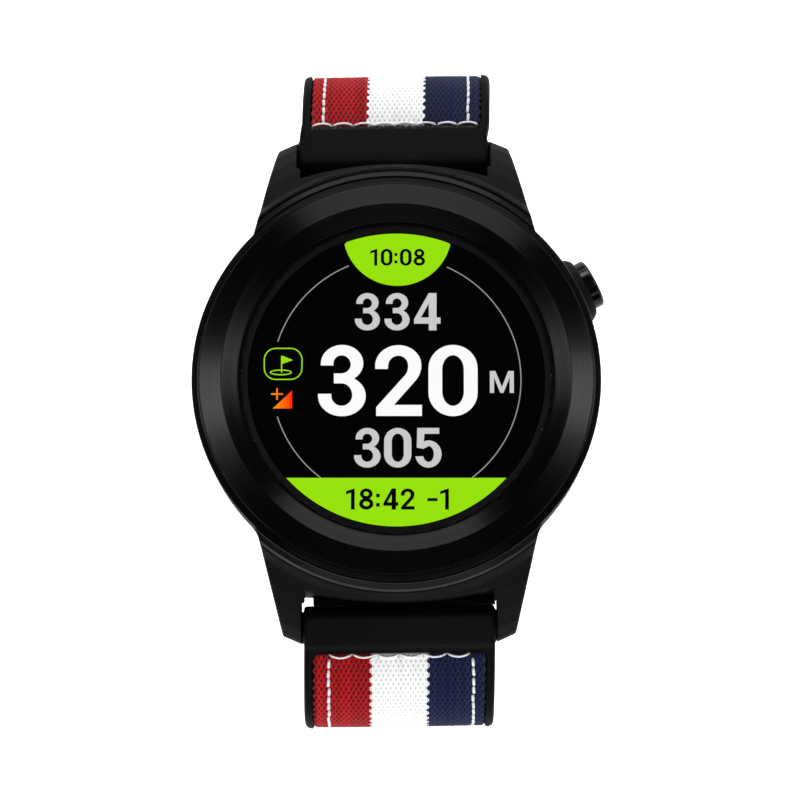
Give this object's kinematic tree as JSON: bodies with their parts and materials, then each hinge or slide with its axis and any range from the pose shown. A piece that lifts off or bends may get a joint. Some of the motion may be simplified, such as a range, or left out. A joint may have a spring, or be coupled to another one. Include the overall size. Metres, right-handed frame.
{
  "type": "golf gps watch",
  "caption": "Round golf wristwatch with a wide dark bezel, colour display, side push button, screwed back and a rubber strap with striped woven fabric, pin buckle and keepers.",
  "frame": {"origin": "centre of the flat outer face of the back cover", "axes": "+Z out of the display, +Y towards twelve o'clock, +X towards three o'clock"},
  "size_m": [0.0467, 0.076, 0.1094],
  "materials": {
    "case_plastic": "fine textured matt black",
    "bezel_metal": "black metal, brushed in circles",
    "cover_glass": "polished",
    "seal_rubber": "matt",
    "display_black": "lit display with coloured numerals",
    "plain_steel": "satin",
    "screw_steel": "dark satin",
    "flex_film": "amber film",
    "circuit_board": "green solder mask",
    "ceramic_block": "unglazed ceramic",
    "battery_foil": "crinkled foil pouch",
    "back_plastic": "smooth matt black",
    "contact_gold": "gold plated",
    "button_metal": "polished black metal",
    "buckle_metal": "satin black metal",
    "strap_rubber": "soft matt black",
    "striped_fabric": "plain weave in red, white and navy stripes with white stitching"
  },
  "bodies": {
    "case": {"mid_case": "case_plastic", "bezel_ring": "bezel_metal", "lens_glass": "cover_glass", "lens_gasket": "seal_rubber", "display_panel": "display_black", "display_frame": "plain_steel", "display_flex": "flex_film", "main_board": "circuit_board", "shield_can": "plain_steel", "gps_antenna": "ceramic_block", "battery_cell": "battery_foil", "battery_pad": "seal_rubber", "vibration_motor": "plain_steel", "back_cover": "back_plastic", "back_gasket": "seal_rubber", "back_screw_1": "screw_steel", "back_screw_2": "screw_steel", "back_screw_3": "screw_steel", "back_screw_4": "screw_steel", "charge_pin_1": "contact_gold", "charge_pin_2": "contact_gold", "charge_pin_3": "contact_gold", "charge_pin_4": "contact_gold", "button_collar": "plain_steel", "button_oring": "seal_rubber", "button_spring": "plain_steel", "side_switch": "plain_steel"},
    "button": {"button_cap": "button_metal", "button_stem": "plain_steel", "button_clip": "plain_steel"},
    "upper_strap": {"upper_strap_rubber": "strap_rubber", "upper_strap_fabric": "striped_fabric", "upper_bar_tube": "plain_steel", "upper_bar_tip": "plain_steel", "upper_bar_spring": "plain_steel", "fixed_keeper": "strap_rubber"},
    "upper_release": {"upper_release_pin": "plain_steel"},
    "keeper": {"free_keeper": "strap_rubber"},
    "buckle": {"buckle_frame": "buckle_metal", "buckle_bar": "plain_steel"},
    "tongue": {"buckle_tongue": "buckle_metal"},
    "lower_strap": {"lower_strap_rubber": "strap_rubber", "lower_strap_fabric": "striped_fabric", "lower_bar_tube": "plain_steel", "lower_bar_tip": "plain_steel", "lower_bar_spring": "plain_steel"},
    "lower_release": {"lower_release_pin": "plain_steel"}
  },
  "joints": [
    {"name": "button_press", "type": "slide", "parent": "case", "child": "button", "axis": [-0.891, -0.454, 0], "range_m": [0, 0.0005], "stiffness_N_per_m": 2000, "springref_m": -0.0005, "deforming": ["button_spring"]},
    {"name": "upper_strap_swing", "type": "hinge", "parent": "case", "child": "upper_strap", "pos_m": [0, 0.0267, 0.0026], "axis": [1, 0, 0], "range_deg": [-4, 60]},
    {"name": "lower_strap_swing", "type": "hinge", "parent": "case", "child": "lower_strap", "pos_m": [0, -0.0267, 0.0026], "axis": [-1, 0, 0], "range_deg": [-4, 60]},
    {"name": "upper_release_slide", "type": "slide", "parent": "upper_strap", "child": "upper_release", "axis": [-1, 0, 0], "range_m": [0, 0.0012], "stiffness_N_per_m": 400, "springref_m": -0.001, "deforming": ["upper_bar_spring"]},
    {"name": "lower_release_slide", "type": "slide", "parent": "lower_strap", "child": "lower_release", "axis": [1, 0, 0], "range_m": [0, 0.0012], "stiffness_N_per_m": 400, "springref_m": -0.001, "deforming": ["lower_bar_spring"]},
    {"name": "keeper_slide", "type": "slide", "parent": "upper_strap", "child": "keeper", "axis": [0, -0.4384, -0.8988], "range_m": [-0.005, 0.005]},
    {"name": "buckle_swing", "type": "hinge", "parent": "upper_strap", "child": "buckle", "pos_m": [0, 0.01676, -0.05505], "axis": [1, 0, 0], "range_deg": [-20, 40]},
    {"name": "tongue_swing", "type": "hinge", "parent": "buckle", "child": "tongue", "pos_m": [0, 0.01676, -0.05505], "axis": [1, 0, 0], "range_deg": [0, 80]}
  ]
}
